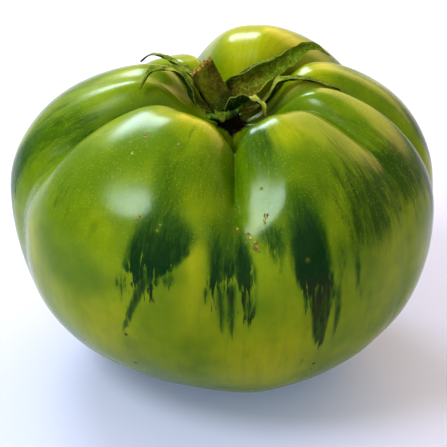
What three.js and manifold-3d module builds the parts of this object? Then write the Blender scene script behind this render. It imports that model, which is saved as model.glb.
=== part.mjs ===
// One large ribbed tomato, still green, picked with its calyx and a short stub of stalk.
// Millimetres, +Z up. The side that shows the deepest seam faces -Y, and the fruit stands on a small foot.
import * as THREE from 'three';
import { mergeVertices } from 'three/addons/utils/BufferGeometryUtils.js';
import Module from 'manifold-3d';

// Driving dimensions of the fruit
const HALF_WIDTH = 46.9;
const HALF_DEPTH = 44.5;
const BELLY_DEPTH = 40.4; // from the widest level down to the lowest point
const SHOULDER_RISE = 30; // from the widest level up to the shoulders
const FOOT_RADIUS = 12; // the flat spot that it rests on, measured along X
const PIT_DEPTH = 12; // from the shoulders down to the floor of the stem pit
const PIT_SHIFT = 1.8; // the pit lies this far to the right of the middle

// Driving dimensions of the calyx and the stem
const GAP = 0.3; // kept between neighbouring pieces
const COLLAR_RADIUS = 4.3;
const COLLAR_HEIGHT = 4.7;
const BLADE_THICKNESS = 0.75;
const STEM_FOOT = new THREE.Vector3(0.3, -0.1, 61.4);
const STEM_END = new THREE.Vector3(-5.1, 4.0, 69.8);
const STEM_RADIUS = 2.75;
const STEM_FOOT_RADIUS = 3.05;

// Roundness of the outline: 2 would be an ellipse, more is squarer
const BELLY_ROUNDNESS = 2.32;
const SHOULDER_ROUNDNESS = 2.2;
const PIT_WIDTH = 0.29; // as a share of the half width
const PIT_POWER = 3;

// Levels are angles along the outline in degrees: 0 under the foot, 90 at the widest, 180 in the pit
const WIDEST = 90;
const FURROW_FULL = 150; // a furrow has its whole depth from this level up
const FURROW_FADE = 0.3; // and runs out towards the pit's floor inside this share of the half width
const FURROW_POWER_SIDE = 2.6; // a higher power makes a narrower furrow
const FURROW_POWER_TOP = 3.5;
const TURN_FROM = 100; // a furrow turns from its side azimuth to its pit azimuth between these levels
const TURN_TO = 165;
const ARCH_POWER = 2.6;
const SWELL_LEVELS = [30, 110];
const SWELL_FADE = 0.5;
const LIFT_LEVELS = [80, 150];
const LIFT_SHARES = [0.05, 0.45];
const SAG_IN = [12, 40];
const SAG_OUT = [50, 100];
const PIT_SHIFT_LEVELS = [90, 175];

// One row for each lobe, anticlockwise from +X. A lobe starts at its own furrow:
// pit and side are the furrow's azimuths, depth and reach its depth in mm and the level where it runs out.
// swell, lift and sag push the lobe out at its side, up at its shoulder and out under its side, in mm.
const LOBES = [
  { pit: 0, side: -4, depth: 4.5, reach: 75, swell: 1.0, lift: 0.9, sag: 0 },
  { pit: 40, side: 35, depth: 4.5, reach: 80, swell: 3.2, lift: 2.0, sag: 0 },
  { pit: 107, side: 104.5, depth: 5.5, reach: 80, swell: -1.4, lift: 0.5, sag: 0 },
  { pit: 131, side: 128.5, depth: 4.0, reach: 80, swell: 1.8, lift: -1.5, sag: 0 },
  { pit: 190, side: 193, depth: 6.5, reach: 45, swell: 0.6, lift: -0.5, sag: -1.0 },
  { pit: 272, side: 274, depth: 7.5, reach: 60, swell: 0, lift: 0, sag: 0.4 },
  { pit: 332, side: 326, depth: 2.2, reach: 110, swell: 0.6, lift: 0.5, sag: 0 },
];

// Colours
const SKIN_GREEN = 0x7f960a;
const SEPAL_GREEN = 0x4f6414;
const STALK_GREEN = 0x4a4f12;

// How finely the solids are faceted
const COLUMNS_PER_LOBE = 10;
const SKIN_ROWS = 34;
const COLLAR_SIDES = 20;
const STEM_SIDES = 14;
const STEM_ROWS = 7;
const BLADE_STEPS = 12;
const BLADE_PARTS = 4;

// A sepal follows a smooth curve through a few points, from inside the collar to its tip.
// width holds its half widths, evenly spaced from root to tip; roll turns its back edge up, in degrees,
// and cup is how far its edges stand up, as a share of the half width.
const SEPALS = [
  {
    path: [
      [-2.2, 0, 61], [-6.4, -0.2, 63.3], [-8.2, 0.5, 67.6],
      [-11, 1.4, 70.2], [-15.4, 1.0, 70.0], [-18.2, -1.0, 66.5],
    ],
    width: [1.6, 2.0, 1.5, 1.2, 0.4], roll: -8, cup: 0.35,
  },
  {
    path: [
      [-1.4, 1.4, 61.2], [-4.4, 2.8, 63.4], [-7, 4.6, 67.2], [-11.2, 8.6, 68.7],
      [-14.2, 11.0, 69.3], [-16.4, 12.2, 68.8], [-18.4, 11.5, 67.4],
    ],
    width: [1.8, 2.4, 1.4, 1.0, 0.4], roll: 10, cup: 0.4,
  },
  {
    path: [
      [0.8, 1.2, 61], [3.6, 3.8, 64], [6.8, 6.2, 66.8],
      [12.5, 9.8, 68.3], [20, 13.6, 70], [23.6, 12.6, 68.5],
    ],
    width: [2.6, 4.0, 2.6, 1.7, 0.4], roll: 38, cup: 0.3,
  },
  {
    path: [
      [2, 0, 61], [7.6, 0.4, 61.6], [10.4, 1.2, 64.2],
      [12, 1.9, 67], [18.6, 1.4, 67.7], [25.4, 0.4, 65.8],
    ],
    width: [1.6, 1.5, 1.0, 0.8, 0.4], roll: 12, cup: 0.3,
  },
  {
    path: [[1, -1, 61], [3.4, -2.8, 64], [6, -3.9, 65.7], [8.2, -5.2, 64.8], [9.2, -7.6, 63]],
    width: [2.0, 2.5, 2.0, 0.9, 0.4], roll: 20, cup: 0.25,
  },
  {
    path: [[0.2, -1.2, 61], [-0.4, -3.6, 61.9], [-0.4, -5, 61.8], [-0.1, -6.2, 61.1]],
    width: [1.8, 1.9, 1.2, 0.4], roll: 0, cup: 0.2,
  },
  {
    path: [[0, 1.2, 61], [-0.6, 4.4, 63], [-1.6, 7, 64.4], [-2.8, 9.2, 64.2]],
    width: [1.8, 2.2, 1.4, 0.5], roll: 0, cup: 0.3,
  },
];

const wasm = await Module();
wasm.setup();

/** A smooth step from 0 at the first level of a pair to 1 at the second. */
function ease([from, to], value) {
  return THREE.MathUtils.smoothstep(value, from, to);
}

/** Closed mesh from points and triangles. */
function meshGeometry(points, triangles) {
  const geometry = new THREE.BufferGeometry();
  const numbers = points.flatMap((p) => [p.x, p.y, p.z]);
  geometry.setAttribute('position', new THREE.Float32BufferAttribute(numbers, 3));
  geometry.setIndex(triangles.flat());
  return geometry;
}

/** The outline's radius, as a share of the half width, and its height from the widest level. */
function outline(angle) {
  const below = angle < Math.PI / 2;
  const power = 2 / (below ? BELLY_ROUNDNESS : SHOULDER_ROUNDNESS);
  const share = Math.abs(Math.sin(angle)) ** power;
  const level = Math.abs(Math.cos(angle)) ** power;
  if (below) return { share, height: -BELLY_DEPTH * level };
  const pit = PIT_DEPTH * Math.exp(-((share / PIT_WIDTH) ** PIT_POWER));
  return { share, height: SHOULDER_RISE * level - pit };
}

/** The outline's outward direction, from two points close to the angle. */
function outlineNormal(angle) {
  const step = 0.001; // radians
  const before = outline(angle - step);
  const after = outline(angle + step);
  const run = (after.share - before.share) * HALF_WIDTH;
  const rise = after.height - before.height;
  const length = Math.hypot(run, rise) || 1;
  return { out: rise / length, up: -run / length };
}

/**
 * A point of the skin. across runs from -1 at the lobe's own furrow to 1 at the next one,
 * and angle is the level along the outline in radians.
 */
function skinPoint(index, across, angle) {
  const lobe = LOBES[index];
  const next = LOBES[(index + 1) % LOBES.length];
  const wholeTurn = index === LOBES.length - 1 ? 360 : 0;
  const level = THREE.MathUtils.radToDeg(angle);
  const { share, height } = outline(angle);
  const normal = outlineNormal(angle);

  const turn = ease([TURN_FROM, TURN_TO], level);
  const start = THREE.MathUtils.lerp(lobe.side, lobe.pit, turn);
  const end = THREE.MathUtils.lerp(next.side, next.pit, turn) + wholeTurn;
  const azimuth = THREE.MathUtils.degToRad(THREE.MathUtils.lerp(start, end, (across + 1) / 2));

  const furrow = across < 0 ? lobe : next;
  const run = ease([furrow.reach, FURROW_FULL], level) * ease([0, FURROW_FADE], share);
  const shoulder = ease([WIDEST, FURROW_FULL], level);
  const power = THREE.MathUtils.lerp(FURROW_POWER_SIDE, FURROW_POWER_TOP, shoulder);
  const cut = furrow.depth * run * Math.abs(across) ** power;

  const arch = 1 - Math.abs(across) ** ARCH_POWER;
  const swell = lobe.swell * arch * ease(SWELL_LEVELS, level) * ease([0, SWELL_FADE], share);
  const sag = lobe.sag * arch * ease(SAG_IN, level) * (1 - ease(SAG_OUT, level));
  const lift = lobe.lift * arch * ease(LIFT_LEVELS, level) * ease(LIFT_SHARES, share);
  const push = swell + sag - cut;

  return new THREE.Vector3(
    (share * HALF_WIDTH + push * normal.out) * Math.cos(azimuth) + PIT_SHIFT * ease(PIT_SHIFT_LEVELS, level),
    (share * HALF_DEPTH + push * normal.out) * Math.sin(azimuth),
    height + push * normal.up + lift,
  );
}

/** The whole fruit: a fan for the flat foot, rings of skin, and a fan that closes the pit. */
function fruitGeometry() {
  const footAngle = Math.asin((FOOT_RADIUS / HALF_WIDTH) ** (BELLY_ROUNDNESS / 2));
  const footHeight = outline(footAngle).height;
  const columns = LOBES.length * COLUMNS_PER_LOBE;
  const points = [new THREE.Vector3(0, 0, 0)];
  for (let row = 0; row < SKIN_ROWS; row += 1) {
    const angle = THREE.MathUtils.lerp(footAngle, Math.PI, row / SKIN_ROWS);
    for (let column = 0; column < columns; column += 1) {
      const index = Math.floor(column / COLUMNS_PER_LOBE);
      const place = (column % COLUMNS_PER_LOBE) / COLUMNS_PER_LOBE;
      // the columns stand closer together near the furrows
      const across = Math.sin((place - 0.5) * Math.PI);
      const point = skinPoint(index, across, angle);
      point.z -= footHeight;
      points.push(point);
    }
  }
  const top = skinPoint(0, 0, Math.PI);
  top.z -= footHeight;
  points.push(top);

  const triangles = [];
  const at = (row, column) => 1 + row * columns + (column % columns);
  for (let column = 0; column < columns; column += 1) {
    triangles.push([0, at(0, column + 1), at(0, column)]);
    for (let row = 0; row < SKIN_ROWS - 1; row += 1) {
      triangles.push([at(row, column), at(row, column + 1), at(row + 1, column + 1)]);
      triangles.push([at(row, column), at(row + 1, column + 1), at(row + 1, column)]);
    }
    triangles.push([at(SKIN_ROWS - 1, column), at(SKIN_ROWS - 1, column + 1), points.length - 1]);
  }
  return { geometry: meshGeometry(points, triangles), pitFloor: top };
}

/** Rings of equal count joined into a closed tube with fans at both ends. */
function loft(rings) {
  const sides = rings[0].length;
  const points = rings.flat();
  const triangles = [];
  rings.slice(1).forEach((_, index) => {
    for (let side = 0; side < sides; side += 1) {
      const a = index * sides + side;
      const b = index * sides + ((side + 1) % sides);
      triangles.push([a, b, b + sides], [a, b + sides, a + sides]);
    }
  });
  const middle = (ring) => ring.reduce((sum, p) => sum.add(p), new THREE.Vector3()).divideScalar(sides);
  const first = points.push(middle(rings[0])) - 1;
  const last = points.push(middle(rings[rings.length - 1])) - 1;
  const lastRing = (rings.length - 1) * sides;
  for (let side = 0; side < sides; side += 1) {
    const next = (side + 1) % sides;
    triangles.push([first, next, side], [last, lastRing + side, lastRing + next]);
  }
  return meshGeometry(points, triangles);
}

/** Two directions square to an axis. */
function crossAxes(axis) {
  const right = new THREE.Vector3().crossVectors(new THREE.Vector3(0, 1, 0), axis).normalize();
  return [right, new THREE.Vector3().crossVectors(axis, right)];
}

/** The stub of stalk: swollen at its foot, faintly ribbed, and cut off on a slant. */
function stemGeometry(grow = 0) {
  const ribs = 5;
  const ribHeight = 0.18;
  const footSwell = 0.16; // share of the length that the swollen foot takes up
  const slant = 0.22; // the cut end's slope
  const axis = new THREE.Vector3().subVectors(STEM_END, STEM_FOOT);
  const length = axis.length() + grow;
  axis.normalize();
  const [right, up] = crossAxes(axis);
  const rings = [];
  for (let row = 0; row <= STEM_ROWS; row += 1) {
    const along = row / STEM_ROWS;
    const swell = (STEM_FOOT_RADIUS - STEM_RADIUS) * Math.exp(-((along / footSwell) ** 2));
    const ring = [];
    for (let side = 0; side < STEM_SIDES; side += 1) {
      const turn = (side / STEM_SIDES) * 2 * Math.PI;
      const radius = STEM_RADIUS + swell + grow + ribHeight * Math.cos(ribs * turn) * along;
      const sideways = radius * Math.cos(turn);
      const lengthways = along * (length + slant * sideways) - grow;
      ring.push(STEM_FOOT.clone()
        .addScaledVector(axis, lengthways)
        .addScaledVector(right, sideways)
        .addScaledVector(up, radius * Math.sin(turn)));
    }
    rings.push(ring);
  }
  return loft(rings);
}

/** The collar that the sepals grow out of: a neck that flares to a rounded rim, leaning with the stem. */
function collarGeometry(pitFloor) {
  const sunk = 1.5; // the neck starts this far under the pit's floor, and is trimmed to it afterwards
  // shares of the collar's radius and height, from the middle of the neck's end to the middle of the top
  const profile = [[0, 0], [0.55, 0], [0.58, 0.55], [0.9, 0.8], [1, 0.89], [0.95, 0.97], [0.8, 1], [0, 1]];
  const height = COLLAR_HEIGHT + sunk;
  const points = profile.map(([r, h]) => new THREE.Vector2(r * COLLAR_RADIUS, h * height));
  const foot = pitFloor.clone();
  foot.z -= sunk;
  const lean = new THREE.Vector3().subVectors(STEM_FOOT, foot).normalize();
  return new THREE.LatheGeometry(points, COLLAR_SIDES)
    .rotateX(Math.PI / 2)
    .applyQuaternion(new THREE.Quaternion().setFromUnitVectors(new THREE.Vector3(0, 0, 1), lean))
    .translate(foot.x, foot.y, foot.z);
}

/** The value at a share of the way along a list of evenly spaced values. */
function sample(values, along) {
  const place = along * (values.length - 1);
  const index = Math.min(Math.floor(place), values.length - 2);
  return THREE.MathUtils.lerp(values[index], values[index + 1], place - index);
}

/** One sepal: a thin cupped blade carried along its curve, closed all round. */
function sepalGeometry({ path, width, roll, cup }) {
  const curve = new THREE.CatmullRomCurve3(path.map(([x, y, z]) => new THREE.Vector3(x, y, z)));
  const heading = new THREE.Vector3().subVectors(curve.getPoint(1), curve.getPoint(0)).setZ(0).normalize();
  const level = new THREE.Vector3(-heading.y, heading.x, 0);
  const rings = [];
  for (let step = 0; step <= BLADE_STEPS; step += 1) {
    const along = step / BLADE_STEPS;
    const tangent = curve.getTangentAt(along);
    const upper = new THREE.Vector3().crossVectors(tangent, level).normalize();
    const side = new THREE.Vector3().crossVectors(upper, tangent);
    const turn = THREE.MathUtils.degToRad(roll) * Math.sin(Math.PI * along);
    side.applyAxisAngle(tangent, turn);
    upper.applyAxisAngle(tangent, turn);
    const half = sample(width, along);
    const middle = curve.getPointAt(along);
    const ring = [];
    const place = (across, face) => middle.clone()
      .addScaledVector(side, across * half)
      .addScaledVector(upper, cup * half * across ** 2 + face * BLADE_THICKNESS / 2);
    for (const face of [1, -1]) {
      for (let part = 0; part <= BLADE_PARTS; part += 1) {
        ring.push(place(face * (1 - (2 * part) / BLADE_PARTS), face));
      }
    }
    rings.push(ring);
  }
  return loft(rings);
}

/** A closed geometry as a solid that can be joined and cut. */
function toSolid(geometry) {
  const bare = geometry.clone();
  bare.deleteAttribute('normal');
  bare.deleteAttribute('uv');
  const merged = mergeVertices(bare);
  return new wasm.Manifold(new wasm.Mesh({
    numProp: 3,
    vertProperties: new Float32Array(merged.attributes.position.array),
    triVerts: new Uint32Array(merged.index.array),
  }));
}

/** A solid back as a geometry. */
function fromSolid(solid) {
  const mesh = solid.getMesh();
  const geometry = new THREE.BufferGeometry();
  geometry.setAttribute('position', new THREE.BufferAttribute(new Float32Array(mesh.vertProperties), 3));
  geometry.setIndex(new THREE.BufferAttribute(new Uint32Array(mesh.triVerts), 1));
  return geometry;
}

/** The calyx: sepals joined to their collar, with room left for the stem's foot and above the fruit. */
function calyxGeometry(fruit, pitFloor) {
  let calyx = toSolid(collarGeometry(pitFloor));
  SEPALS.forEach((sepal) => {
    calyx = calyx.add(toSolid(sepalGeometry(sepal)));
  });
  const raisedFruit = toSolid(fruit.clone().translate(0, 0, GAP));
  return fromSolid(calyx.subtract(raisedFruit).subtract(toSolid(stemGeometry(GAP))));
}

/** Adds one named piece with its own material. */
function addPiece(group, name, geometry, color, roughness) {
  geometry.computeVertexNormals();
  const material = new THREE.MeshStandardMaterial({ color, roughness, metalness: 0 });
  const mesh = new THREE.Mesh(geometry, material);
  mesh.name = name;
  group.add(mesh);
}

const { geometry: fruit, pitFloor } = fruitGeometry();
const tomato = new THREE.Group();
addPiece(tomato, 'fruit', fruit, SKIN_GREEN, 0.3);
addPiece(tomato, 'calyx', calyxGeometry(fruit, pitFloor), SEPAL_GREEN, 0.8);
addPiece(tomato, 'stem', stemGeometry(), STALK_GREEN, 0.85);

// The origin is under the middle of the fruit's box
fruit.computeBoundingBox();
const centre = fruit.boundingBox.getCenter(new THREE.Vector3());
tomato.position.set(-centre.x, -centre.y, 0);

export default tomato;
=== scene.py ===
# A large ribbed tomato, still green, with its calyx and a short stub of stalk, on a pale floor.
import math

import bpy
import numpy as np
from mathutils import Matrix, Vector


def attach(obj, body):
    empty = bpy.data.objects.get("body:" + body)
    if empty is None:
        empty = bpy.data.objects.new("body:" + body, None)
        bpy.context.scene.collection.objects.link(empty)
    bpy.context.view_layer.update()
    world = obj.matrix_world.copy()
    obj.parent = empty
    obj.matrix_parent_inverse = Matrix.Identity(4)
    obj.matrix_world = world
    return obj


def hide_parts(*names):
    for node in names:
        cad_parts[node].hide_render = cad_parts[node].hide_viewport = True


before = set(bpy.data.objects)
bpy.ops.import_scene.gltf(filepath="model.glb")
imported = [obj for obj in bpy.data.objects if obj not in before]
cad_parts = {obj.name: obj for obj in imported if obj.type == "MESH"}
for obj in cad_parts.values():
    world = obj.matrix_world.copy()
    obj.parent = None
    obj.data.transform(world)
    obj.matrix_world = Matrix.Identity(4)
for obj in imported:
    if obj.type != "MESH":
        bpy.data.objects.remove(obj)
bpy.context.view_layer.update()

# Shapes are worked out in millimetres and put into their meshes in metres
MM = 0.001

# Camera: the height it looks at over the foot, its distance, its angles and how much it takes in
CAMERA_TARGET_HEIGHT = 32.7
CAMERA_DISTANCE = 420.0
CAMERA_AZIMUTH = 270.0
CAMERA_ELEVATION = 29.0
CAMERA_SEES = 101.0
SENSOR = 36.0

# The fruit's outline
HALF_WIDTH = 46.9
HALF_DEPTH = 44.5
BELLY_DEPTH = 40.4
SHOULDER_RISE = 30.0
FOOT_RADIUS = 12.0
PIT_DEPTH = 12.0
PIT_SHIFT = 1.8
BELLY_ROUNDNESS = 2.32
SHOULDER_ROUNDNESS = 2.2
PIT_WIDTH = 0.29
PIT_POWER = 3.0

# Levels are angles along the outline in degrees: 0 under the foot, 90 at the widest, 180 in the pit
WIDEST = 90.0
FURROW_FULL = 150.0
FURROW_FADE = 0.3
FURROW_POWER_SIDE = 2.6
FURROW_POWER_TOP = 3.5
TURN_LEVELS = (100.0, 165.0)
SEAM_ROUND = 0.16
SEAM_ROUND_LEVELS = (104.0, 142.0)
ARCH_POWER = 2.6
SWELL_LEVELS = (30.0, 110.0)
SWELL_FADE = 0.5
LIFT_LEVELS = (80.0, 150.0)
LIFT_SHARES = (0.05, 0.45)
SAG_IN = (12.0, 40.0)
SAG_OUT = (50.0, 100.0)
PIT_SHIFT_LEVELS = (90.0, 175.0)

# One row for each lobe, anticlockwise from +X: its own furrow's azimuth in the pit and at the side,
# the furrow's depth and the level where it runs out, then the lobe's swell, lift and sag in mm
LOBES = np.array([
    (0, -4, 4.5, 75, 1, 0.9, 0),
    (40, 35, 4.5, 80, 3.2, 2, 0),
    (107, 104.5, 5.5, 80, -1.4, 0.5, 0),
    (131, 128.5, 4, 80, 1.8, -1.5, 0),
    (190, 193, 6.5, 45, 0.6, -0.5, -1),
    (272, 274, 7.5, 60, 0, 0, 0.4),
    (332, 326, 2.2, 110, 0.6, 0.5, 0),
], float)
# Flatter places of the lobes, beside the deepest seam and on the crests behind: azimuth, level, their half
# widths in degrees, depth in mm, and how far they lean, in degrees of azimuth for each degree of level
HOLLOWS = [(284.2, 136.4, 8.0, 29.5, 1.8, 0.23), (83.0, 158.2, 10.4, 6.8, 0.8, 0.0),
           (165.6, 154.6, 7, 11, 0.5, 0)]
# Waves of the skin: height in mm, waves round the fruit, radians for each radian of level, and phase. Then
# the levels and shares of the half width over which they come in
SKIN_WAVES = [(0.10, 5, 3, 0.0), (0.07, 11, -5, 1.3), (0.05, 17, 7, 0.4), (0.05, 3, -9, 0.0)]
SKIN_WAVE_LEVELS = (20, 45)
SKIN_WAVE_SHARES = (0.12, 0.35)
# The knobs of the scar: their height in mm, then the middle and half width of their ring as shares of the
# fruit's half width
KNOB_HEIGHT = 0.22
KNOB_RING = (0.07, 0.045)
SKIN_COLUMNS = 600
SKIN_ROWS = 150
FOOT_ROWS = 7

# Dark stripes, each a few rows from its top to its ragged end: level, left edge, right edge and darkness
STRIPES = [
    [(158, 240, 246, 0.06), (141, 241, 249, 0.24), (134, 244, 254, 0.34), (122, 246, 257, 0.44),
     (113, 245.6, 261.7, 0.74), (106, 245, 260.4, 0.95), (99, 244.4, 256.5, 1), (96, 245, 253, 1)],
    [(124, 262, 270, 0.12), (114, 265, 271, 0.42), (107, 266, 270.6, 0.8), (99, 266.4, 270, 0.95),
     (92, 265.8, 269.4, 0.9)],
    [(126, 269, 275, 0.15), (114, 268, 274, 0.45), (104, 269, 274, 0.66), (95, 269, 274, 0.84)],
    [(120, 273.5, 276, 0.3), (107, 272.6, 276.8, 0.95), (99, 273, 278.2, 1), (89, 273.8, 277.8, 0.95)],
    [(134, 287, 295, 0.14), (126, 287.5, 296, 0.5), (119, 288, 297, 0.72), (110, 287.6, 297.5, 0.98),
     (101, 288, 298, 1), (93, 289.2, 298.8, 1), (88, 291.4, 299.4, 0.95)],
    [(120, 280, 286, 0.15), (114, 279.6, 287, 0.62), (109, 280.6, 287, 0.62), (101, 282, 286, 0.25)],
    [(166, 275, 287, 0.3), (156, 275, 291, 0.44), (148, 276, 292, 0.42), (136, 280, 291, 0.2),
     (124, 285, 290, 0.1)],
    [(112, 299, 303, 0.1), (104, 300, 304, 0.3), (92, 300, 302.4, 0.35)],
]

# Thin tails, streaks and spots with sharper edges, in the same form
TAILS = [
    [(99, 248, 253, 0.9), (94.8, 248.4, 252, 0.85), (89.8, 247.2, 249.4, 0.8), (86, 245.4, 247.4, 0.8),
     (80.7, 243.4, 245.2, 0.75), (76, 242.4, 243.5, 0.6)],
    [(96, 242.6, 245.4, 0.45), (91.5, 242, 245.4, 0.65), (88.5, 243, 244.6, 0.5)],
    [(99, 254.2, 257.6, 0.45), (95, 254.4, 257.8, 0.55), (92.5, 255.2, 256.8, 0.45)],
    [(93, 264.6, 267, 0.75), (89, 264.8, 266, 0.65), (86, 264.9, 265.4, 0.4)],
    [(94, 267.8, 270.2, 0.8), (85, 268.6, 270.2, 0.7), (79, 269, 269.8, 0.5)],
    [(94, 270.8, 273.4, 0.8), (85, 271.2, 273, 0.75), (79, 271.7, 272.6, 0.55)],
    [(90, 274.6, 277.6, 0.9), (85.5, 275.6, 277, 0.75), (82, 276.2, 276.8, 0.5)],
    [(91, 292.2, 299.2, 0.98), (85, 292.8, 298.6, 0.9), (81, 293.4, 297.8, 0.85), (76, 293.8, 297.5, 0.8),
     (71, 295.8, 297.9, 0.7)],
    [(90, 299.2, 301.4, 0.65), (80, 299.8, 301.4, 0.6), (73, 300.4, 301.1, 0.45)],
    [(100, 300.6, 302, 0.5), (94, 300.4, 301.8, 0.5), (90, 300.6, 301.4, 0.4)],
    [(98, 305, 307, 0.6), (94, 305.2, 307.2, 0.65), (89, 305.8, 306.8, 0.5)],
    [(88, 306.8, 308.6, 0.4), (84, 307.2, 308.2, 0.35)],
    [(87, 310.2, 311.6, 0.35), (83, 310.5, 311.3, 0.3)],
    [(82, 302, 303.2, 0.35), (78, 302.3, 303, 0.3)],
    [(118, 215, 217.4, 0.35), (113, 215.6, 217.6, 0.45), (109, 216.4, 217.4, 0.35)],
    [(113, 232.8, 234, 0.35), (109, 233, 234.4, 0.4), (106, 233.6, 234.4, 0.3)],
]

# The stripes of the sides that the photo hides: from azimuth, to azimuth, and how dark they are. Then the
# ranges that each one's start, half width, lowest and highest level, lean, tail and space are drawn from
WILD_STRIPES = [(342, 385, 0.9), (388, 460, 1.0), (462, 492, 0.85), (500, 545, 0.6)]
WILD_START = (3, 8)
WILD_SPANS = [(2.6, 6.5), (88, 99), (136, 152), (-2, 2)]
WILD_TAIL = (5, 18)
WILD_APART = (9, 15)
WILD_SEED = 7

# How softly the sides of stripes and tails end, in degrees, how that grows between two levels, half the fade
# of their tops, and the limits of the height over their ends
STRIPE_SOFT = 3.0
TAIL_SOFT = 1.5
SOFT_LOW = 0.6
SOFT_HIGH = 2.0
SOFT_LEVELS = (100, 136)
STRIPE_TOP = 3
ABOVE_LIMITS = (-12.0, 20.0)

# Patches of dark mottling and of yellow, below 0 for less yellow: azimuth, level, half width, half height and
# strength
MOTTLED = [
    (322, 120, 17, 15, 1), (312, 106, 9, 13, 0.8), (338, 118, 12, 16, 0.9), (305, 128, 8, 7, 0.35),
    (216, 116, 12, 10, 0.35), (184, 122, 15, 16, 0.55), (196, 139, 10, 8, 0.5), (163, 128, 16, 14, 0.4),
    (266, 132, 14, 16, 0.3), (250, 140, 10, 12, 0.35), (287, 150, 5, 10, 0.75), (14, 128, 12, 12, 0.6),
    (60, 124, 14, 12, 0.6), (90, 116, 16, 14, 0.5), (125, 122, 14, 14, 0.5), (150, 112, 12, 12, 0.4),
    (272, 160, 12, 8, 0.5), (330, 152, 10, 8, 0.3), (187, 140, 12, 14, 0.3), (317, 139, 6, 7, 0.4),
]
YELLOWED = [
    (284, 66, 16, 14, 1), (262, 88, 8, 10, 0.8), (236, 76, 14, 14, 0.7), (222, 98, 10, 16, 0.2),
    (262, 104, 3, 8, 0.8), (207, 92, 8, 30, 0.7), (296, 152, 12, 8, 0.7), (240, 158, 26, 9, 0.9),
    (60, 158, 34, 16, 1), (82, 150, 12, 18, 0.9), (170, 96, 12, 34, 0.7), (12, 160, 16, 8, 0.6),
    (318, 92, 6, 12, 0.6), (332, 96, 8, 18, 0.5), (110, 150, 14, 12, 0.5), (150, 152, 20, 10, 0.6),
    (160, 60, 30, 16, 0.5), (30, 66, 30, 16, 0.7), (95, 62, 30, 16, 0.6), (345, 62, 20, 16, 0.5),
    (222, 126, 18, 24, -0.8), (190, 136, 14, 18, -0.6),
]

# Duller skin, where the photo shows no reflections: the inner slope of the back lobe, the left lobe's side
# and the ends of the front lobes' reflections
DULLED = [(80, 167, 45, 4.5, 1.2), (186, 131, 9, 15, 1.0), (206, 147, 6, 5, 1.0), (279.2, 142, 3, 6, 1.0),
          (275, 122, 2.4, 6, 1)]
PATCH_LIMIT = 1.2

# The scar's edge, as shares of the half width, and how far it reaches out at one azimuth, over a span. Then
# the blossom's scar under the foot, its strength, and how fast the meridians' pattern changes along them
SCAR_SHARES = (0.03, 0.105)
SCAR_REACH = 0.025
SCAR_TURN = 272
SCAR_SPAN = 24
BLOSSOM_SHARES = (0.02, 0.09)
BLOSSOM_SCAR = 0.8
MERIDIAN_RISE = 0.16

# Small marks in the skin, each one dot or a few in a row: azimuth, level and radius in mm of every dot. Near
# the poles, azimuth still counts for this share in how far a dot is from a grid point
POLE_SHARE = 0.2
CORK_MARKS = [
    (282.1, 121.6, 0.34), (282.5, 121, 0.3), (281.3, 120, 0.26), (281.6, 118.6, 0.16),
    (273.8, 117, 0.34), (274.6, 116.6, 0.24), (277, 114, 0.34), (277.7, 112.4, 0.42),
    (278.4, 110.6, 0.42), (279, 108.8, 0.46), (279.5, 107, 0.34), (276.4, 111, 0.16),
    (252, 116.2, 0.26), (251.6, 114.2, 0.22), (245.4, 117.2, 0.34), (247.7, 146.4, 0.22),
    (230.8, 146.2, 0.3), (231.6, 145.2, 0.22), (232.3, 138.4, 0.4), (282.1, 133, 0.26),
    (291.9, 101.8, 0.14), (64, 120, 0.4), (65, 117.5, 0.34), (66.4, 115, 0.26),
    (139, 104, 0.46), (140.5, 103, 0.3), (20, 98, 0.4), (110, 88, 0.3),
]
DARK_MARKS = [
    (282.6, 121.8, 0.24), (222, 62.5, 0.42), (223.4, 61.8, 0.26), (242.2, 59.2, 0.34),
    (296.7, 62.4, 0.3), (296.5, 58.6, 0.18), (296.6, 54.6, 0.16), (296.4, 50.6, 0.16),
    (296.2, 46.8, 0.2), (243.6, 75.4, 0.3), (240.6, 76.8, 0.18), (70, 75, 0.34),
]

# The stub of stalk: its ends and radii in mm, its swollen foot as a share of its length, its ribs, its grid
STEM_FOOT = np.array([0.3, -0.1, 61.4])
STEM_END = np.array([-5.1, 4.0, 69.8])
STEM_RADIUS = 2.75
STEM_FOOT_RADIUS = 3.05
STEM_FOOT_SHARE = 0.16
STEM_RIBS = 5
RIB_HEIGHT = 0.17
STEM_RINGS = 70
STEM_AROUND = 96
QUARTER = math.pi / 2
# Waves as those of the skin, round the stub and along it, then those of its torn end
STEM_WAVES = [(0.05, 23, 2, QUARTER), (0.03, 41, -5, QUARTER), (0.06, 2, 9, 0), (0.04, -3, 23, 0)]
TORN_WAVES = [(0.30, 6, 0, 1), (0.22, 13, 0, 0), (0.16, 29, 0, 2)]
TORN_SHARE = 0.6
TORN_SHARES = (0.85, 1.0)
# The end's slant, how deep it sinks, and its rings, down to a small share of its radius
STEM_SLANT = 0.22
END_SUNK = 0.55
END_RINGS = 22
END_HOLE = 0.04

# The collar's profile from its neck to its seat, as shares of its radius and height
COLLAR_RADIUS = 4.3
COLLAR_HEIGHT = 4.7
NECK_SUNK = 1.5
COLLAR_PROFILE = [(0.5, 0), (0.55, 0.25), (0.58, 0.5), (0.75, 0.68), (0.95, 0.8), (1.02, 0.88), (0.97, 0.96),
                  (0.86, 1), (0.75, 0.96), (0.4, 0.9)]
COLLAR_LUMPS = [(0.05, 7, 0, 0.5), (0.03, 12, 0, 0)]
COLLAR_RINGS = 48
COLLAR_AROUND = 80

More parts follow.
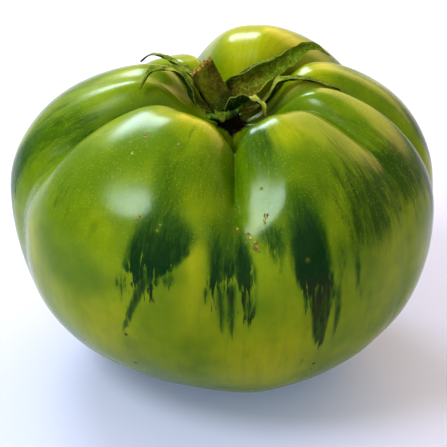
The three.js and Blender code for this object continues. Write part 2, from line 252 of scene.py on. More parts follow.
# A sepal follows a smooth curve through a few points, from inside the collar to its tip. half holds its half
# widths, evenly spaced; roll turns its back edge up, curl bends its two edges inwards, both in degrees.
SEPALS = {
    "sepal_left": dict(
        path=[(-2.2, 0, 61), (-6.4, -0.2, 63.3), (-8.2, 0.5, 67.6), (-11, 1.4, 70.2), (-15.4, 1.0, 70.0),
              (-18.2, -1, 66.5)],
        half=(1.6, 2.0, 1.6, 1.3, 0.3), roll=-8, curl=(60, 70), wave=0.22, pale=0.45),
    "sepal_left_back": dict(
        path=[(-1.4, 1.4, 61.2), (-4.4, 2.8, 63.4), (-7, 4.6, 67.2), (-11.2, 8.6, 68.7),
              (-14.2, 11, 69.3), (-16.4, 12.2, 68.8), (-18.4, 11.5, 67.4)],
        half=(1.8, 2.5, 1.2, 0.8, 0.2), roll=10, curl=(60, 44), wave=0.15, pale=0.35),
    "sepal_right_back": dict(
        path=[(0.8, 1.2, 61), (3.6, 3.8, 64), (6.8, 6.2, 66.8), (12.5, 9.8, 68.3), (20, 13.6, 70),
              (23.6, 12.6, 68.5)],
        half=(2.6, 4.9, 3.1, 1.8, 0.25), roll=38, curl=(176, 34), wave=0.42, pale=0.05),
    "sepal_right": dict(
        path=[(2, 0, 61), (7.6, 0.4, 61.6), (10.4, 1.2, 64.2), (12, 1.9, 67), (18.6, 1.4, 67.7),
              (25.4, 0.4, 65.8)],
        half=(1.6, 1.6, 1.0, 0.75, 0.25), roll=12, curl=(48, 76), wave=0.15, pale=0.55),
    "sepal_front": dict(
        path=[(1, -1, 61), (3.4, -2.8, 64), (6, -3.9, 65.7), (8.2, -5.2, 64.8), (9.2, -7.6, 63)],
        half=(2.0, 2.9, 2.2, 0.8, 0.2), roll=-14, curl=(36, 58), wave=0.3, pale=0.8),
    "sepal_front_short": dict(
        path=[(0.2, -1.2, 61), (-0.4, -3.6, 61.9), (-0.4, -5, 61.8), (-0.1, -6.2, 61.1)],
        half=(1.8, 1.9, 1.2, 0.3), roll=0, curl=(30, 40), wave=0.1, pale=0.3),
    "sepal_back": dict(
        path=[(0, 1.2, 61), (-0.6, 4.4, 63), (-1.6, 7, 64.4), (-2.8, 9.2, 64.2)],
        half=(1.8, 2.2, 1.4, 0.4), roll=0, curl=(44, 44), wave=0.2, pale=0.3),
}
SEPAL_SEED = 20
BLADE_THICKNESS = 0.46
BLADE_STEPS = 72
BLADE_AROUND = 40
PATH_STEPS = 60
# Waves along and across a blade. Those of its width are shares of it, and the frill's are times its own wave
BLADE_JAGS = [(0.06, 47, 0, 0), (0.05, 83, 0, 0)]
BLADE_FRILLS = [(1.0, 15, 0, 0), (0.6, 27, 3, 0)]
BLADE_WRINKLES = [(0.12, 31, 5, 0), (0.08, 53, -7, 0)]
VEIN_HEIGHT = 0.12
BLADE_VEINS = 5
MIDRIB_SHARE = 0.9
MIDRIB_WIDTH = 0.16
# Shares of a blade's length: where its edges curl up and ease again, its jags and relief set in, and it thins
ROLL_SHARES = (0.05, 0.3)
UNROLL_SHARES = (0.4, 0.8)
UNROLLED = 0.4
JAG_SHARES = (0.3, 0.5)
RELIEF_SHARES = (0.1, 0.4)
TIP_SHARES = (0.55, 1.0)
THINNER_TIP = 0.65
# The least bend, in radians, that isn't drawn as flat
LEAST_BEND = 0.02

# Hairs: how many to a square millimetre, their sizes in mm, their random lean and how deep they are rooted.
# None grow on the first and last few rings of a grid, and the stub has them on its side's rings alone
HAIR_DENSITY = 0.9
HAIR_LENGTH = (0.2, 0.6)
HAIR_RADIUS = 0.03
HAIR_SIDES = 3
HAIR_LEAN = 0.45
HAIR_ROOT = 0.05
HAIRLESS_FOOT = 4
HAIRLESS_TIP = 2
STEM_HAIRY = 68
STEM_HAIR_SEED = 5
SEPAL_HAIR_SEED = 6


# Helpers for shapes

def ease(levels, value):
    """A smooth step: 0 below the first level, 1 above the second, with 3t^2 - 2t^3 between them."""
    t = np.clip((value - levels[0]) / (levels[1] - levels[0]), 0, 1)
    return t * t * (3 - 2 * t)


def bell(value, middle, width):
    """A Gauss bell of height 1."""
    return np.exp(-((value - middle) / width) ** 2)


def waves(rows, first, second, shifts=0.0):
    """A sum of sines. Each row holds a height, the radians for each unit of first and of second, and a phase,
    to which the row's shift is added."""
    height, by_first, by_second, phase = np.array(rows, float).T
    angle = by_first * first[..., None] + by_second * second[..., None] + phase + shifts
    return (height * np.sin(angle)).sum(-1)


def circle(count):
    """Evenly spaced angles round a full turn, in radians."""
    return np.linspace(0, 2 * math.pi, count, endpoint=False)


def unit(vectors):
    """The same directions, each of length 1."""
    return vectors / np.linalg.norm(vectors, axis=-1, keepdims=True)


def turn_between(azimuth, middle):
    """The signed angle from middle to azimuth, in degrees, between -180 and 180."""
    return (azimuth - middle + 180) % 360 - 180


def closed_mesh(name, points, attributes=None, ends=None):
    """A closed surface from rings of points (rows, columns, 3) in mm. Each ring joins round, each end closes
    on one point, and faces are turned outwards by the sign of the enclosed volume. An attribute is an array
    over the same grid, or one row or column of it."""
    rows, columns, _ = points.shape
    ends = points[[0, -1]].mean(1) if ends is None else ends
    everything = np.concatenate([points.reshape(-1, 3), np.array(ends)])
    grid = np.arange(rows * columns).reshape(rows, columns)
    after = np.roll(grid, -1, 1)
    quads = np.stack([grid[:-1], after[:-1], after[1:], grid[1:]], -1).reshape(-1, 4)
    start_fan = np.stack([np.full(columns, rows * columns), after[0], grid[0]], -1)
    end_fan = np.stack([np.full(columns, rows * columns + 1), grid[-1], after[-1]], -1)
    triangles = np.concatenate([start_fan, end_fan, quads[:, [0, 1, 2]], quads[:, [0, 2, 3]]])
    corners = everything[triangles]
    volume = np.einsum("ij,ij->i", corners[:, 0], np.cross(corners[:, 1], corners[:, 2])).sum()
    if volume < 0:
        quads, start_fan, end_fan = quads[:, ::-1], start_fan[:, ::-1], end_fan[:, ::-1]
    mesh = bpy.data.meshes.new(name)
    faces = quads.tolist() + start_fan.tolist() + end_fan.tolist()
    mesh.from_pydata((everything * MM).tolist(), [], faces)
    mesh.polygons.foreach_set("use_smooth", np.ones(len(faces), bool))
    for key, values in (attributes or {}).items():
        values = np.broadcast_to(values, (rows, columns) + values.shape[2:])
        flat = np.concatenate([values.reshape(-1, *values.shape[2:]), values[[0, -1]].mean(1)])
        kind, field = ("FLOAT_VECTOR", "vector") if values.ndim == 3 else ("FLOAT", "value")
        layer = mesh.attributes.new(key, kind, "POINT")
        layer.data.foreach_set(field, flat.astype(np.float32).ravel())
    mesh.update()
    return mesh


def put_in_scene(name, data):
    """A new object in the scene, at the origin."""
    made = bpy.data.objects.new(name, data)
    bpy.context.scene.collection.objects.link(made)
    return made


def add_piece(name, mesh, node, material):
    """A piece of the tomato: it rides on the one body and stands for its CAD node."""
    piece = put_in_scene(name, mesh)
    piece.data.materials.append(material)
    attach(piece, "root")
    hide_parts(node)


# Materials

def colour(code):
    """A colour from its six hex digits, in linear light by the sRGB curve."""
    parts = [int(code[i:i + 2], 16) / 255 for i in (0, 2, 4)]
    return tuple(p / 12.92 if p <= 0.04045 else ((p + 0.055) / 1.055) ** 2.4 for p in parts) + (1.0,)


class Finish:
    """One material and the short calls that build its nodes. A value is a number, a colour or a socket."""

    def __init__(self, name):
        self.material = bpy.data.materials.new(name)
        self.material.use_nodes = True
        self.tree = self.material.node_tree
        self.shader = self.tree.nodes["Principled BSDF"]

    def put(self, socket, value):
        if isinstance(value, bpy.types.NodeSocket):
            self.tree.links.new(value, socket)
        else:
            socket.default_value = value

    def node(self, kind, inputs=(), **settings):
        made = self.tree.nodes.new(kind)
        for key, value in settings.items():
            setattr(made, key, value)
        for key, value in dict(inputs).items():
            self.put(made.inputs[key], value)
        return made

    def set(self, **inputs):
        for key, value in inputs.items():
            self.put(self.shader.inputs[key.replace("_", " ")], value)

    def place(self):
        return self.node("ShaderNodeTexCoord").outputs["Object"]

    def attribute(self, name, output="Fac"):
        return self.node("ShaderNodeAttribute", attribute_name=name).outputs[output]

    def noise(self, place, scale, detail=2.0, roughness=0.5, distortion=0.0):
        inputs = {"Vector": place, "Scale": scale, "Detail": detail, "Roughness": roughness,
                  "Distortion": distortion}
        return self.node("ShaderNodeTexNoise", inputs).outputs["Fac"]

    def cells(self, place, scale):
        return self.node("ShaderNodeTexVoronoi", {"Vector": place, "Scale": scale}).outputs

    def math(self, operation, *values):
        return self.node("ShaderNodeMath", enumerate(values), operation=operation).outputs[0]

    def times(self, first, second):
        return self.math("MULTIPLY", first, second)

    def scaled(self, value, factor, start):
        """start + factor * value."""
        return self.math("MULTIPLY_ADD", value, factor, start)

    def swayed(self, noise, factor, start=0.0):
        """start + factor * (noise - 0.5), so that the noise sways it both ways."""
        return self.scaled(self.math("SUBTRACT", noise, 0.5), factor, start)

    def step(self, value, low, high, to_low=0.0, to_high=1.0):
        """A smooth step of value from low to high, and on to the range to_low to to_high."""
        inputs = {"Value": value, "From Min": low, "From Max": high, "To Min": to_low, "To Max": to_high}
        return self.node("ShaderNodeMapRange", inputs, interpolation_type="SMOOTHSTEP").outputs[0]

    def mix(self, share, first, second):
        inputs = {0: share, 6: first, 7: second}
        return self.node("ShaderNodeMix", inputs, data_type="RGBA").outputs[2]

    def over(self, ground, paint, value, low, high, most=1.0):
        """Paint over the ground where value goes from low to high, at most this strong."""
        return self.mix(self.step(value, low, high, 0.0, most), ground, paint)

    def bump(self, height, distance):
        inputs = {"Height": height, "Distance": distance, "Strength": 1.0}
        return self.node("ShaderNodeBump", inputs).outputs[0]

    def near(self, place, dots):
        """The distance in metres to the edge of the nearest dot, below 0 inside it."""
        nearest = None
        for centre, radius in dots:
            between = self.node("ShaderNodeVectorMath", {0: place, 1: centre}, operation="DISTANCE")
            edge = self.math("SUBTRACT", between.outputs["Value"], radius)
            nearest = edge if nearest is None else self.math("MINIMUM", nearest, edge)
        return nearest


# The fruit

def outline(angle):
    """The outline's radius as a share of the half width, |sin|^(2/n), and its height from the widest level,
    |cos|^(2/n) of the belly's depth or the shoulder's rise, less a bell-shaped pit at the top."""
    below = angle < math.pi / 2
    power = 2 / np.where(below, BELLY_ROUNDNESS, SHOULDER_ROUNDNESS)
    share = np.abs(np.sin(angle)) ** power
    level = np.abs(np.cos(angle)) ** power
    pit = PIT_DEPTH * np.exp(-(share / PIT_WIDTH) ** PIT_POWER)
    return share, np.where(below, -BELLY_DEPTH * level, SHOULDER_RISE * level - pit)


def skin(lobe, across, angle):
    """Points of the skin (rows, columns, 3), with their azimuths, levels and furrow's cut. across runs from
    -1 at a lobe's own furrow to 1 at the next. The outline is pushed along its normal: out by an arch,
    1 - |across|^2.6, over the lobe, and in by |across|^power at the furrows, whose bottoms are rounded by a
    parabola below the shoulder. It is lifted over the shoulders."""
    step = 0.001
    share, height = outline(angle)
    share_after, height_after = outline(angle + step)
    share_before, height_before = outline(angle - step)
    run = (share_after - share_before) * HALF_WIDTH
    rise = height_after - height_before
    length = np.hypot(run, rise) + 1e-12
    normal_out, normal_up = (rise / length)[:, None], (-run / length)[:, None]
    share, height = share[:, None], height[:, None]
    level = np.degrees(angle)[:, None]

    following = (lobe + 1) % len(LOBES)
    pit_turn, side_turn, depth, reach, swell, lift, sag = LOBES.T
    turn = ease(TURN_LEVELS, level)
    start = side_turn[lobe] + (pit_turn - side_turn)[lobe] * turn
    end = side_turn[following] + (pit_turn - side_turn)[following] * turn + 360.0 * (following == 0)
    azimuth = start + (end - start) * (across + 1) / 2

    furrow = np.where(across < 0, lobe, following)
    reaches = ease((reach[furrow][None], FURROW_FULL), level) * ease((0, FURROW_FADE), share)
    power = FURROW_POWER_SIDE + (FURROW_POWER_TOP - FURROW_POWER_SIDE) * ease((WIDEST, FURROW_FULL), level)
    rounded = SEAM_ROUND * (1 - ease(SEAM_ROUND_LEVELS, level))
    past = (np.abs(across) - 1 + rounded).clip(0)
    beside = np.abs(across) - past ** 2 / (2 * rounded).clip(1e-3)
    cut = depth[furrow] * reaches * beside ** power
    arch = 1 - np.abs(across) ** ARCH_POWER
    out = swell[lobe] * arch * ease(SWELL_LEVELS, level) * ease((0, SWELL_FADE), share)
    out = out + sag[lobe] * arch * ease(SAG_IN, level) * (1 - ease(SAG_OUT, level))
    up = lift[lobe] * arch * ease(LIFT_LEVELS, level) * ease(LIFT_SHARES, share)
    turned = np.radians(azimuth)
    push = out - cut + fine_relief(turned, level, share)
    x = (share * HALF_WIDTH + push * normal_out) * np.cos(turned) + PIT_SHIFT * ease(PIT_SHIFT_LEVELS, level)
    y = (share * HALF_DEPTH + push * normal_out) * np.sin(turned)
    z = height + push * normal_up + up
    return np.stack([x, y, z], -1), azimuth % 360, level, cut


def fine_relief(turned, level, share):
    """How far small forms stand out of the skin, in mm: waves round and along the fruit that fade at the foot
    and in the pit, bell-shaped hollows that may lean, and the knobbly ring of the scar in the pit."""
    relief = waves(SKIN_WAVES, turned, np.radians(level))
    relief = relief * ease(SKIN_WAVE_LEVELS, level) * ease(SKIN_WAVE_SHARES, share)
    for azimuth, height, width, reach, depth, lean in HOLLOWS:
        turn = turn_between(np.degrees(turned), azimuth) - lean * (level - height)
        relief = relief - depth * bell(turn, 0, width) * bell(level, height, reach)
    knobs = np.sin(9 * turned + 60 * share) * np.sin(13 * turned - 90 * share + 1.0)
    return relief + KNOB_HEIGHT * knobs * bell(share, *KNOB_RING) * (level > WIDEST)


def lobe_columns():
    """The lobe and the place across it of every column, evenly spaced round the fruit at its widest."""
    side = LOBES[:, 1]
    spans = np.diff(np.append(side, side[0] + 360))
    counts = np.round(spans / 360 * SKIN_COLUMNS).astype(int)
    lobe = np.repeat(np.arange(len(LOBES)), counts)
    place = np.concatenate([np.arange(count) / count for count in counts])
    return lobe, 2 * place - 1


def build_skin():
    """The fruit's grid of points, azimuths, levels and cuts: rings of the flat foot, then of skin up into the
    pit. Then its two end points, and the middle of its box, which goes to the frame's origin."""
    foot_share = FOOT_RADIUS / HALF_WIDTH
    foot_angle = math.asin(foot_share ** (BELLY_ROUNDNESS / 2))
    lobe, across = lobe_columns()
    angle = np.linspace(foot_angle, math.pi, SKIN_ROWS, endpoint=False)
    points, azimuth, level, cut = skin(lobe, across, angle)
    foot_height = points[0, :, 2].min()
    points[..., 2] -= foot_height
    points[0, :, 2] = 0.0
    inward = np.linspace(0, 1, FOOT_ROWS, endpoint=False)[1:, None, None]
    foot = points[0][None] * inward
    points = np.concatenate([foot, points])
    azimuth = np.concatenate([np.repeat(azimuth[:1], len(foot), 0), azimuth])
    level = np.concatenate([math.degrees(foot_angle) * inward[:, :, 0], level])
    cut = np.concatenate([np.zeros((len(foot), cut.shape[1])), cut])
    top = skin(np.array([0]), np.array([0.0]), np.array([math.pi]))[0]
    ends = [np.zeros(3), top[0, 0] - (0, 0, foot_height)]
    centre = (points.reshape(-1, 3).min(0) + points.reshape(-1, 3).max(0)) / 2
    return points, azimuth, level, cut, ends, centre * (1, 1, 0)


def wild_stripes(seed):
    """Stripes and thin tails for the hidden sides, evenly spread with seeded changes of width, length and
    lean."""
    random = np.random.default_rng(seed)
    stripes, tails = [], []
    for start, end, dark in WILD_STRIPES:
        at = start + random.uniform(*WILD_START)
        while at < end:
            half, low, high, lean = [random.uniform(*span) for span in WILD_SPANS]
            rows = [(high, at - lean, 0.6, 0.12), (124, at, 0.9, 0.55), (110, at, 1.0, 1.0),
                    (low, at + lean, 0.8, 1.0)]
            stripes.append([(level, middle_turn - wide * half, middle_turn + wide * half, shade * dark)
                            for level, middle_turn, wide, shade in rows])
            for foot in random.uniform(-0.7, 0.7, random.integers(1, 4)):
                tail, run = at + lean + foot * half, random.uniform(*WILD_TAIL)
                tails.append([(low + 2, tail - 1.4, tail + 1.4, 0.9 * dark),
                              (low - run, tail - 0.4, tail + 0.4, 0.6 * dark)])
            at += half + random.uniform(*WILD_APART)
    return stripes, tails


def stripe_fields(azimuth, level, rows, soft):
    """For a set of stripes: how dark the skin is, and how many degrees it lies above the end of the stripe
    that darkens it most. A stripe's edges and darkness are joined between its rows, and its sides are eased
    over soft degrees, more of them towards the pit."""
    shade = np.zeros(azimuth.shape)
    above = np.full(azimuth.shape, ABOVE_LIMITS[1])
    width = soft * (SOFT_LOW + (SOFT_HIGH - SOFT_LOW) * ease(SOFT_LEVELS, level))
    for row in rows:
        levels, left, right, dark = np.array(row[::-1], float).T
        centre = np.interp(level, levels, (left + right) / 2)
        half = np.interp(level, levels, (right - left) / 2)
        inside = half - np.abs(turn_between(azimuth, centre))
        top = 1 - ease((levels[-1] - STRIPE_TOP, levels[-1] + STRIPE_TOP), level)
        here = np.interp(level, levels, dark) * ease((-1, 1), inside / width) * top
        wins = here > shade
        shade = np.where(wins, here, shade)
        above = np.where(wins, level - levels[0], above)
    return shade, np.clip(above, *ABOVE_LIMITS)


def patch_field(azimuth, level, rows):
    """The sum of soft round patches, each a bell in azimuth and in level, up to a limit."""
    field = np.zeros(np.broadcast(azimuth, level).shape)
    for turn, height, width, reach, strength in rows:
        field = field + strength * bell(turn_between(azimuth, turn), 0, width) * bell(level, height, reach)
    return np.minimum(field, PATCH_LIMIT)


def spots(rows):
    """The middles and radii of small marks in metres, from their azimuths, levels and radii in mm. A middle
    is the grid point of the skin that is nearest to the angles."""
    dots = []
    for azimuth, level, radius in rows:
        away = np.abs(turn_between(skin_azimuth, azimuth)) * np.sin(np.radians(skin_level)).clip(POLE_SHARE)
        index = np.argmin(away ** 2 + (skin_level - level) ** 2)
        dots.append((tuple(((skin_points.reshape(-1, 3)[index] - middle) * MM).tolist()), radius * MM))
    return dots


def skin_finish():
    """Waxy green skin: yellow and green clouds, dark ragged stripes that brown at the bottom, mottling along
    the meridians, fine pale dots, small corky marks, and the dark scar in the pit, with painted shade in the
    furrows and round the scar."""
    f = Finish("tomato_skin")
    place = f.place()
    meridian = f.attribute("meridian", "Vector")
    height, yellow, dull = f.attribute("height"), f.attribute("yellow"), f.attribute("dull")
    clouds = f.noise(place, CLOUDS, 3.0, 0.55)
    streaks = f.noise(meridian, STREAKS, 4.0, 0.6, 0.2)
    threads = f.noise(meridian, THREADS, 3.0, 0.6)
    grain = f.noise(place, CORK_GRAIN, 3.0, 0.6)

    deeper = f.scaled(f.math("MINIMUM", yellow, 0.0), 0.3, clouds)
    ground = f.over(SKIN_DEEP, SKIN_GREEN, deeper, 0.32, 0.68)
    ground = f.over(ground, SKIN_YELLOW, f.scaled(yellow, 0.8, f.swayed(clouds, 0.8)), 0.0, 0.9)
    ground = f.over(ground, SKIN_DEEP, streaks, 0.4, 0.75, 0.3)
    # Painted shade: darker green in the furrows, stronger where they cut deeper
    ground = f.over(ground, FURROW_SHADE_GREEN, f.attribute("furrow"), 0.15, 0.8, 0.45)
    patches = f.swayed(threads, 0.7, f.swayed(streaks, 1.9, f.attribute("mottle")))
    ground = f.over(ground, MOTTLE_GREEN, patches, 0.25, 1.3, 0.9)

    worn = f.swayed(threads, 3.6, f.swayed(streaks, 2.2))
    above = f.attribute("stripe_above")
    stripe = f.times(f.attribute("stripe"), f.step(f.scaled(worn, 10.0, above), -3.5, 2.5))
    stripe = frayed(f, stripe, worn, f.step(above, 4.0, 20.0, 2.1, 0.9))
    tail_end = f.scaled(worn, 4.0, f.attribute("tail_above"))
    tail = frayed(f, f.times(f.attribute("tail"), f.step(tail_end, -2.5, 2.5)), worn, 2.4)
    dark = f.math("MAXIMUM", stripe, f.times(tail, 0.85))
    striped = f.over(ground, HALO_GREEN, dark, 0.0, 0.62)
    browned = f.over(STRIPE_BROWN, STRIPE_GREEN, height, *BROWN_HEIGHTS)
    striped = f.over(striped, browned, dark, 0.42, 1.0)

    dotted = f.math("MAXIMUM", *[stipple(f, place, *row) for row in DOTS])
    plain = f.step(dark, 0.75, 0.3, 0.2, 1.0)
    dotted = f.times(dotted, f.times(f.step(height, *DOT_HEIGHTS, 0.1, 1.0), plain))
    speckled = f.mix(f.times(dotted, DOT_STRENGTH), striped, DOT_COLOUR)

    cork_edge = f.swayed(grain, MARK_RAGGED, f.near(place, spots(CORK_MARKS)))
    cork = f.step(cork_edge, MARK_EDGE, -MARK_EDGE)
    dark_edge = f.swayed(grain, MARK_RAGGED, f.near(place, spots(DARK_MARKS)))
    marked = f.over(speckled, SKIN_DEEP, cork_edge, MARK_HALO, 0.0, 0.35)
    marked = f.mix(cork, marked, f.over(CORK_DARK, CORK_PALE, grain, 0.4, 0.6))
    marked = f.over(marked, DARK_MARK, dark_edge, MARK_EDGE, -MARK_EDGE)

    scar_noise = f.noise(place, SCAR_GRAIN, 4.0, 0.65)
    scar_edge = f.swayed(scar_noise, 0.9, f.attribute("scar"))
    scarred = f.step(scar_edge, 0.35, 0.6)
    scar = f.over(SCAR_DARK, SCAR_BROWN, scar_noise, 0.4, 0.65)
    scar = f.over(scar, SCAR_FLECK, f.noise(place, SCAR_FLECKS, 3.0, 0.7), 0.58, 0.68)
    # Painted shade: a ring of darker green round the scar in the pit
    finished = f.over(marked, FURROW_SHADE_GREEN, scar_edge, 0.05, 0.45, 0.7)
    finished = f.mix(scarred, finished, scar)

    rough = f.math("MAXIMUM", f.times(scarred, SCAR_ROUGHNESS), f.times(cork, CORK_ROUGHNESS))
    rough = f.math("MAXIMUM", rough, f.step(clouds, 0.3, 0.7, *SKIN_ROUGHNESS))
    rough = f.math("ADD", rough, f.step(height, *CREST_HEIGHTS, 0.0, CREST_ROUGHER))
    rough = f.scaled(dull, DULL_ROUGHER, rough)
    relief = f.scaled(cork, 0.35, f.times(f.times(scarred, scar_noise), 1.6))
    relief = f.scaled(dotted, 0.03, relief)
    f.set(Base_Color=finished, Roughness=rough, Normal=f.bump(relief, RELIEF_HEIGHT))
    f.set(Specular_IOR_Level=f.step(dull, 0.0, 1.0, *SKIN_SPECULAR), IOR=SKIN_IOR)
    f.set(Subsurface_Weight=0.1, Subsurface_Radius=(0.7, 1.0, 0.1), Subsurface_Scale=0.002)
    return f.material


def frayed(f, shade, worn, strength):
    """A shade whose half-dark parts break into streaks:
    shade + strength * worn * shade^2 * (1.12 - shade)."""
    between = f.times(f.times(shade, shade), f.math("SUBTRACT", 1.12, shade))
    return f.scaled(f.times(worn, strength), between, shade)


def stipple(f, place, scale, size, share):
    """Fine dots of uneven size: the middles of a share of the cells of a Voronoi pattern."""
    cells = f.cells(place, scale)
    chances = f.node("ShaderNodeSeparateColor", {0: cells["Color"]}).outputs
    chosen = f.step(chances[0], share, share - 0.05)
    away = f.scaled(chances[1], 0.7 * size, cells["Distance"])
    return f.times(f.step(away, size + 0.14, size - 0.04), chosen)


# Scales of the patterns in the skin, and its dots: the scale of their cells, their size and how many cells
# have one
CLOUDS = 60
STREAKS = 24
THREADS = 70
CORK_GRAIN = 900
SCAR_GRAIN = 420
SCAR_FLECKS = 1300
DOTS = [(2500, 0.32, 0.55), (1150, 0.12, 0.25)]
DOT_STRENGTH = 0.19

# Heights over the foot, in metres, where stripes turn from brown to green, dots come in and crests grow dull
BROWN_HEIGHTS = (0.037, 0.045)
DOT_HEIGHTS = (0.035, 0.056)
CREST_HEIGHTS = (0.050, 0.066)

# Edges of the small marks, in metres: half their softness, their raggedness and the dark halo round them
MARK_EDGE = 0.0001
MARK_RAGGED = 0.0011
MARK_HALO = 0.0007

# The skin's gloss: roughness in the clouds, of scar and cork, added on crests and in dull patches, then the
# specular level of the skin and of dull patches
SKIN_ROUGHNESS = (0.17, 0.21)
SCAR_ROUGHNESS = 0.75
CORK_ROUGHNESS = 0.6
CREST_ROUGHER = 0.06
DULL_ROUGHER = 0.25
SKIN_SPECULAR = (0.5, 0.1)
SKIN_IOR = 1.34
RELIEF_HEIGHT = 0.0003

SKIN_GREEN = colour("7c8c02")
SKIN_DEEP = colour("5e7602")
SKIN_YELLOW = colour("9a9c02")
MOTTLE_GREEN = colour("2a4804")
HALO_GREEN = colour("365802")
STRIPE_GREEN = colour("023602")
STRIPE_BROWN = colour("2c3204")
# FURROW_SHADE_GREEN is painted shade for the furrows and the ring round the scar
FURROW_SHADE_GREEN = colour("2c5c04")
DOT_COLOUR = colour("c0c250")
CORK_PALE = colour("aea456")
CORK_DARK = colour("6c5c24")
DARK_MARK = colour("2c2a10")
SCAR_DARK = colour("140b0a")
SCAR_BROWN = colour("2c1a14")
SCAR_FLECK = colour("96706a")


def make_fruit():
    """The skin with the fields that its material reads: stripes and tails, patches, scars, the furrows'
    depth, the height, and a place that changes slowly along the meridians."""
    wild, wild_tails = wild_stripes(WILD_SEED)
    stripe, stripe_above = stripe_fields(skin_azimuth, skin_level, STRIPES + wild, STRIPE_SOFT)
    tail, tail_above = stripe_fields(skin_azimuth, skin_level, TAILS + wild_tails, TAIL_SOFT)
    share = np.hypot(skin_points[..., 0] - PIT_SHIFT, skin_points[..., 1]) / HALF_WIDTH
    reach = SCAR_REACH * bell(turn_between(skin_azimuth, SCAR_TURN), 0, SCAR_SPAN)
    scar = (1 - ease(SCAR_SHARES, share - reach)) * (skin_level > WIDEST)
    blossom = BLOSSOM_SCAR * (1 - ease(BLOSSOM_SHARES, share)) * (skin_level < WIDEST)
    turned = np.radians(skin_azimuth)
    up = np.broadcast_to(np.radians(skin_level), turned.shape)
    fields = {
        "meridian": np.stack([np.cos(turned), np.sin(turned), MERIDIAN_RISE * up], -1),
        "stripe": stripe,
        "stripe_above": stripe_above,
        "tail": tail,
        "tail_above": tail_above,
        "mottle": patch_field(skin_azimuth, skin_level, MOTTLED),
        "yellow": patch_field(skin_azimuth, skin_level, YELLOWED),
        "dull": patch_field(skin_azimuth, skin_level, DULLED),
        "scar": np.maximum(scar, blossom),
        "furrow": skin_cut / LOBES[:, 2].max(),
        "height": skin_points[..., 2] * MM,
    }
    ends = [end - middle for end in skin_ends]
    mesh = closed_mesh("fruit_skin", skin_points - middle, fields, ends)
    add_piece("fruit_skin", mesh, "fruit", skin_finish())


skin_points, skin_azimuth, skin_level, skin_cut, skin_ends, middle = build_skin()


# Paths and blades

def smooth_path(points, count):
    """Evenly spaced points, with their directions, on a centripetal Catmull-Rom curve through a few points:
    each stretch joins four points by straight lines, three times over."""
    p = np.array(points, float)
    p = np.concatenate([[2 * p[0] - p[1]], p, [2 * p[-1] - p[-2]]])
    knots = np.concatenate([[0], np.cumsum(np.linalg.norm(np.diff(p, axis=0), axis=1) ** 0.5)])
    fine = []
    for i in range(1, len(p) - 2):
        k, q = knots[i - 1:i + 3], p[i - 1:i + 3]
        t = np.linspace(k[1], k[2], PATH_STEPS, endpoint=i == len(p) - 3)[:, None]
        for spans in ([(0, 1), (1, 2), (2, 3)], [(0, 2), (1, 3)], [(1, 2)]):
            q = [((k[b] - t) * q[n] + (t - k[a]) * q[n + 1]) / (k[b] - k[a])
                 for n, (a, b) in enumerate(spans)]
        fine.append(q[0])
    fine = np.concatenate(fine)
    reach = np.concatenate([[0], np.cumsum(np.linalg.norm(np.diff(fine, axis=0), axis=1))])
    at = np.linspace(0, reach[-1], count)
    even = np.stack([np.interp(at, reach, fine[:, k]) for k in range(3)], -1)
    return even, unit(np.gradient(even, axis=0))


def smooth_widths(values, count):
    """Evenly spaced values, joined by straight lines and then rounded by a moving average."""
    line = np.interp(np.linspace(0, 1, count), np.linspace(0, 1, len(values)), values)
    window = np.hanning(count // 5 + 2)
    window = window / window.sum()
    padded = np.pad(line, len(window) // 2, mode="edge")
    return np.convolve(padded, window, mode="same")[len(window) // 2:len(window) // 2 + count]


def blade(path, half, roll, curl, wave, pale, seed):
    """A thin curved blade as rings round its curve. The section is an arc whose two edges bend up by their
    own curl angle, thicker along its midrib. Jagged edges, a frill, veins and wrinkles set in past its base,
    and its thickness and relief shrink towards the tip."""
    middle_line, along = smooth_path(path, BLADE_STEPS)
    heading = unit((np.array(path[-1], float) - path[0]) * (1, 1, 0))
    upper = unit(np.cross(along, [-heading[1], heading[0], 0.0]))
    side = np.cross(upper, along)
    share = np.linspace(0, 1, BLADE_STEPS)[:, None]
    angle = np.radians(roll) * np.sin(math.pi * share)
    side, upper = side * np.cos(angle) + upper * np.sin(angle), upper * np.cos(angle) - side * np.sin(angle)

    around = circle(BLADE_AROUND)[None]
    across, face = np.cos(around), np.sin(around)
    phase = np.random.default_rng(seed).random(6) * 2 * math.pi
    width = smooth_widths(half, BLADE_STEPS)[:, None]
    width = width * (1 + waves(BLADE_JAGS, share, share, phase[4:]) * ease(JAG_SHARES, share))
    rolled = ease(ROLL_SHARES, share) * (1 - UNROLLED * ease(UNROLL_SHARES, share))
    bend = np.radians(np.where(across >= 0, curl[0], curl[1])) * rolled
    flat = width * np.sin(bend * across) / bend.clip(LEAST_BEND)
    flat = np.where(bend < LEAST_BEND, width * across, flat)
    rise = width * (1 - np.cos(bend * across)) / bend.clip(LEAST_BEND)

    frill = wave * across ** 2 * waves(BLADE_FRILLS, share, across, phase[:2])
    wrinkle = waves(BLADE_WRINKLES, share, across, phase[2:4])
    veins = VEIN_HEIGHT * np.cos(across * BLADE_VEINS * math.pi) * (1 - across ** 2)
    midrib = MIDRIB_SHARE * bell(across, 0, MIDRIB_WIDTH) * (face < 0)
    taper = 1 - THINNER_TIP * ease(TIP_SHARES, share)
    thick = BLADE_THICKNESS / 2 * face * (1 + midrib) * taper
    lift = rise + thick + (frill + wrinkle + veins) * ease(RELIEF_SHARES, share) * taper
    points = middle_line[:, None] + side[:, None] * flat[..., None] + upper[:, None] * lift[..., None]
    return points, {"along": share, "across": across, "face": face, "pale": np.full((1, 1), pale)}


